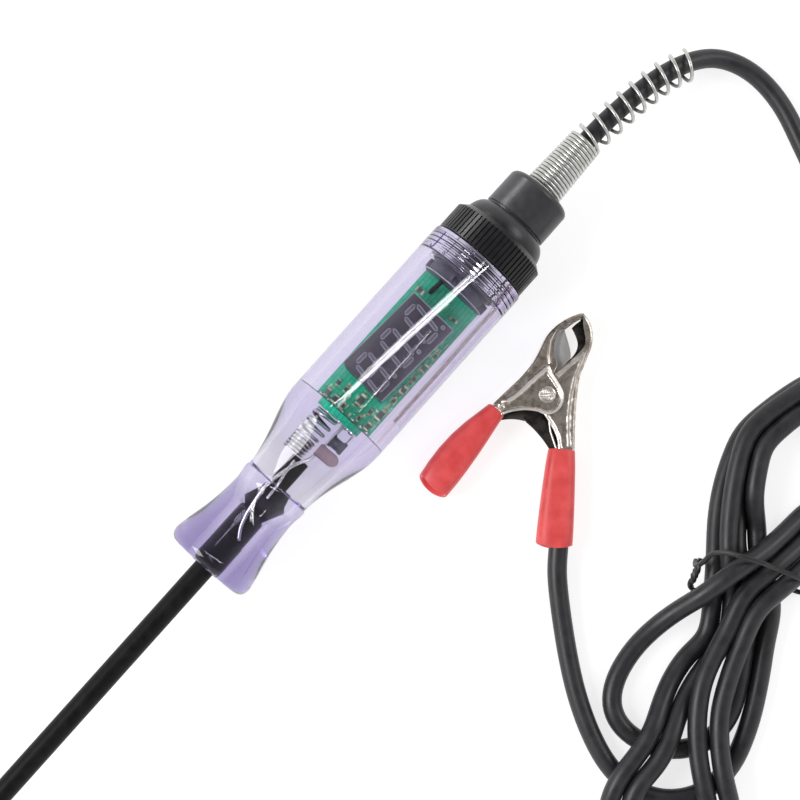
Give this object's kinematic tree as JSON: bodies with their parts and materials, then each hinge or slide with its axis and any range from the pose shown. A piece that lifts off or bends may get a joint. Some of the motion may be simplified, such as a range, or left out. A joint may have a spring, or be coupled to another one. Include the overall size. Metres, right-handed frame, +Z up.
{
  "type": "digital circuit tester",
  "caption": "Hand tester for vehicle wiring: steel probe, clear handle with a small number display, screwed cap and a tied ground lead with a spring clip.",
  "frame": {"origin": "on the table, under the middle of the tester without its cable, halfway between the probe's point and the cap's end", "axes": "+X from the probe's point to the cap along the tester's axis, +Z up with the display facing up, +Y to the side away from the cable hank and the clip"},
  "size_m": [0.2673, 0.142, 0.0249],
  "materials": {
    "probe_steel": "satin, ground point",
    "sleeve_plastic": "semi-gloss",
    "boot_rubber": "satin",
    "clear_violet": "polished clear plastic",
    "bare_wire": "tinned",
    "spring_steel": "bright plated",
    "board_green": "gloss lacquer",
    "lamp_red": "gloss",
    "component_black": "matte",
    "display_grey": "satin",
    "segment_grey": "satin",
    "plug_grey": "satin",
    "wire_black": "satin",
    "cap_black": "satin",
    "cable_black": "satin",
    "tie_black": "satin",
    "clip_plate": "bright nickel plate, slightly worn",
    "grip_red": "soft satin vinyl"
  },
  "bodies": {
    "tester": {"probe_needle": "probe_steel", "probe_sleeve": "sleeve_plastic", "probe_boot": "boot_rubber", "handle_shell": "clear_violet", "probe_wire": "bare_wire", "link_wire": "bare_wire", "contact_spring": "spring_steel", "front_board": "board_green", "indicator_lamp": "lamp_red", "input_resistor": "component_black", "circuit_board": "board_green", "display_module": "display_grey", "display_segments": "segment_grey", "display_pins": "bare_wire", "surface_parts": "component_black", "controller_chip": "component_black", "board_plug": "plug_grey", "ground_wire": "wire_black", "end_cap": "cap_black", "strain_spring": "spring_steel", "cable_lead": "cable_black", "cable_hank": "cable_black", "clip_lead": "cable_black", "twist_tie": "tie_black", "clip_fixed_jaw": "clip_plate", "clip_rivet": "clip_plate", "clip_spring": "spring_steel", "clip_grip_fixed": "grip_red"},
    "clip_lever": {"clip_moving_jaw": "clip_plate", "clip_grip_moving": "grip_red"}
  },
  "joints": [
    {"name": "clip_pivot", "type": "hinge", "parent": "tester", "child": "clip_lever", "pos_m": [0.0716, -0.0315, 0.00395], "axis": [0, 0, 1], "range_deg": [0, 26], "stiffness_Nm_per_rad": 0.12, "springref_deg": -51.57, "deforming": ["clip_spring"]}
  ]
}
